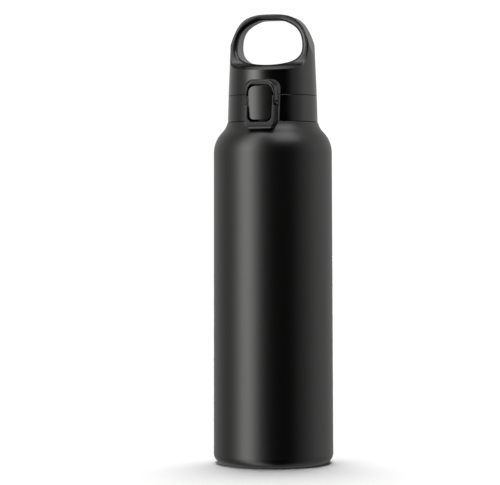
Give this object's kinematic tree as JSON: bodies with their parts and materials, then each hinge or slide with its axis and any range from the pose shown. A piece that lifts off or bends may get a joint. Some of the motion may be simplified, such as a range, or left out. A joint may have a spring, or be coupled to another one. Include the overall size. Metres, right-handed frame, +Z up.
{
  "type": "insulated water bottle",
  "caption": "Insulated steel drinking bottle with a screw-on lid, hinged flip cap with carry loop, front push button and lock ring.",
  "frame": {"origin": "centre of the base, on the surface that the bottle stands on", "axes": "+Z up along the bottle's axis; the latch faces -Y and the cap's hinge is at +Y"},
  "size_m": [0.08, 0.08, 0.2989],
  "materials": {
    "coated_steel": "fine-grained matte black powder coat over stainless steel",
    "base_steel": "matte black powder coat",
    "foot_rubber": "matte black rubber",
    "seal_metal": "dull grey brazing metal",
    "getter_metal": "sintered grey metal",
    "liner_steel": "circumferentially brushed stainless steel",
    "copper_foil": "bright copper foil",
    "silicone": "dark grey food-grade silicone",
    "inner_plastic": "black polypropylene, moulded, satin",
    "lid_plastic": "black polypropylene, fine spark-eroded satin texture",
    "spout_plastic": "black polypropylene, smooth satin",
    "pin_steel": "ground stainless steel",
    "spring_steel": "drawn stainless spring wire",
    "button_plastic": "black, satin",
    "bail_plastic": "black, satin"
  },
  "bodies": {
    "bottle": {"outer_shell": "coated_steel", "outer_base": "base_steel", "base_pad": "foot_rubber", "vacuum_seal": "seal_metal", "getter": "getter_metal", "inner_liner": "liner_steel", "liner_bottom": "liner_steel", "heat_foil": "copper_foil"},
    "seal": {"mouth_gasket": "silicone"},
    "lid": {"lid_insert": "inner_plastic", "lid_collar": "lid_plastic", "drinking_spout": "spout_plastic", "spout_gasket": "silicone", "vent_valve": "silicone", "hinge_pin": "pin_steel", "hinge_spring": "spring_steel", "latch_pin": "pin_steel", "button_spring": "spring_steel"},
    "cap": {"flip_cap": "lid_plastic", "cap_liner": "inner_plastic", "spout_plug": "silicone", "vent_plug": "silicone"},
    "button": {"latch_button": "button_plastic"},
    "bail": {"lock_bail": "bail_plastic"}
  },
  "joints": [
    {"name": "lid_lift", "type": "slide", "parent": "bottle", "child": "seal", "axis": [0, 0, 1], "range_m": [0, 0.0081]},
    {"name": "lid_turn", "type": "hinge", "parent": "seal", "child": "lid", "pos_m": [0, 0, 0.2375], "axis": [0, 0, 1], "range_deg": [0, 720]},
    {"name": "cap_hinge", "type": "hinge", "parent": "lid", "child": "cap", "pos_m": [0, 0.0314, 0.2464], "axis": [-1, 0, 0], "range_deg": [0, 150], "deforming": ["hinge_spring"]},
    {"name": "button_press", "type": "hinge", "parent": "lid", "child": "button", "pos_m": [0, -0.0306, 0.2397], "axis": [1, 0, 0], "range_deg": [0, 8], "stiffness_Nm_per_rad": 0.15, "springref_deg": -5.73, "deforming": ["button_spring"]},
    {"name": "bail_swing", "type": "hinge", "parent": "lid", "child": "bail", "pos_m": [0, -0.0306, 0.2397], "axis": [1, 0, 0], "range_deg": [0, 85]}
  ],
  "couplings": [
    {"joint": "lid_lift", "follows": "lid_turn", "m_per_rad": 0.00063662}
  ]
}
